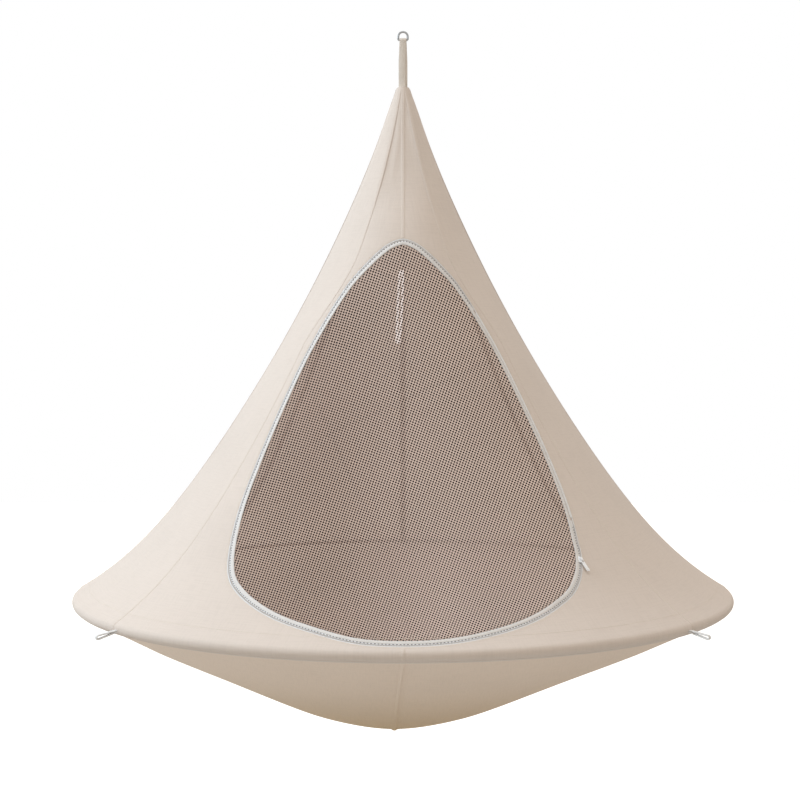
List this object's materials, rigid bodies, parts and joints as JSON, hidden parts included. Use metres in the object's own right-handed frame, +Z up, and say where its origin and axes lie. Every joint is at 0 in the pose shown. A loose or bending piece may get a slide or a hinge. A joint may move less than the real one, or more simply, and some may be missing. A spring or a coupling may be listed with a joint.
{
  "type": "tree tent",
  "caption": "Round hanging tent: conical canvas canopy and bowl floor on a tube spreader ring, a zipped insect-screen door and a hanging ring at the top.",
  "frame": {"origin": "the top of the hanging ring's eye, where the ring rests on its hook", "axes": "+Z up, the door faces -Y, +X to the right as seen from the front"},
  "size_m": [1.5, 1.5, 1.6083],
  "materials": {
    "canvas": "plain-woven cotton and polyester canvas, natural beige",
    "canvas_inner": "the same canvas, darker on the inner side",
    "webbing": "woven tape",
    "strap": "folded woven strap",
    "white_tape": "white woven tape",
    "net": "fine brown insect net",
    "zip": "light grey nylon coil",
    "aluminium": "drawn tube",
    "steel": "bent wire",
    "white_metal": "white coated zip metal"
  },
  "bodies": {
    "hanging_ring": {"hanging_ring": "steel"},
    "tent": {"door_side_seam": "white_tape", "floor_front_left": "canvas", "floor_front_right": "canvas", "floor_rear_left": "canvas", "floor_rear_right": "canvas", "gore_front_left": "canvas", "gore_front_right": "canvas", "gore_left_front": "canvas", "gore_left_rear": "canvas", "gore_rear_left": "canvas", "gore_rear_right": "canvas", "gore_right_front": "canvas", "gore_right_rear": "canvas", "hanger_strap": "strap", "neck_lining": "canvas_inner", "rim_sleeve_front": "canvas_inner", "rim_sleeve_left": "canvas_inner", "rim_sleeve_rear": "canvas_inner", "rim_sleeve_right": "canvas_inner", "ring_tube_1": "aluminium", "ring_tube_2": "aluminium", "ring_tube_3": "aluminium", "ring_tube_4": "aluminium", "ring_tube_5": "aluminium", "ring_tube_6": "aluminium", "seam_tape_front": "webbing", "seam_tape_left": "webbing", "seam_tape_left_front": "webbing", "seam_tape_rear": "webbing", "seam_tape_rear_left": "webbing", "seam_tape_rear_right": "webbing", "seam_tape_right": "webbing", "seam_tape_right_front": "webbing", "zip_row_canopy": "zip", "zip_tape_canopy": "white_tape"},
    "door": {"door_screen": "net", "door_binding": "white_tape", "zip_row_door": "zip"},
    "slider": {"zip_slider": "white_metal"},
    "pull": {"zip_pull": "white_metal"},
    "lantern": {"lantern_loop": "white_tape"},
    "loop_front_left": {"tie_loop_front_left": "white_tape"},
    "loop_front_right": {"tie_loop_front_right": "white_tape"},
    "loop_rear_left": {"tie_loop_rear_left": "white_tape"},
    "loop_rear_right": {"tie_loop_rear_right": "white_tape"}
  },
  "joints": [
    {"name": "tent_swing", "type": "hinge", "parent": "hanging_ring", "child": "tent", "pos_m": [0, 0, -0.0164], "axis": [1, 0, 0], "range_deg": [-25, 25]},
    {"name": "door_hinge", "type": "hinge", "parent": "tent", "child": "door", "pos_m": [0.27731, -0.26943, -0.88213], "axis": [-0.3643, 0.4068, 0.8377], "range_deg": [0, 125]},
    {"name": "slider_run", "type": "hinge", "parent": "door", "child": "slider", "pos_m": [0.175, -0.51671, -1.07923], "axis": [-0.4265, 0.5796, -0.6943], "range_deg": [-10, 27]},
    {"name": "pull_hinge", "type": "hinge", "parent": "slider", "child": "pull", "pos_m": [0.35899, -0.47073, -1.14898], "axis": [-0.8149, -0.5794, 0.0169], "range_deg": [0, 150]},
    {"name": "lantern_swing", "type": "hinge", "parent": "tent", "child": "lantern", "pos_m": [0, 0, -0.1615], "axis": [0, 1, 0], "range_deg": [-20, 20]},
    {"name": "loop_front_left_bend", "type": "hinge", "parent": "tent", "child": "loop_front_left", "pos_m": [-0.57516, -0.48262, -1.29186], "axis": [0.6428, -0.766, 0], "range_deg": [-35, 40], "stiffness_Nm_per_rad": 0.002},
    {"name": "loop_front_right_bend", "type": "hinge", "parent": "tent", "child": "loop_front_right", "pos_m": [0.57516, -0.48262, -1.29186], "axis": [0.6428, 0.766, 0], "range_deg": [-35, 40], "stiffness_Nm_per_rad": 0.002},
    {"name": "loop_rear_left_bend", "type": "hinge", "parent": "tent", "child": "loop_rear_left", "pos_m": [-0.57516, 0.48262, -1.29186], "axis": [-0.6428, -0.766, 0], "range_deg": [-35, 40], "stiffness_Nm_per_rad": 0.002},
    {"name": "loop_rear_right_bend", "type": "hinge", "parent": "tent", "child": "loop_rear_right", "pos_m": [0.57516, 0.48262, -1.29186], "axis": [-0.6428, 0.766, 0], "range_deg": [-35, 40], "stiffness_Nm_per_rad": 0.002}
  ]
}
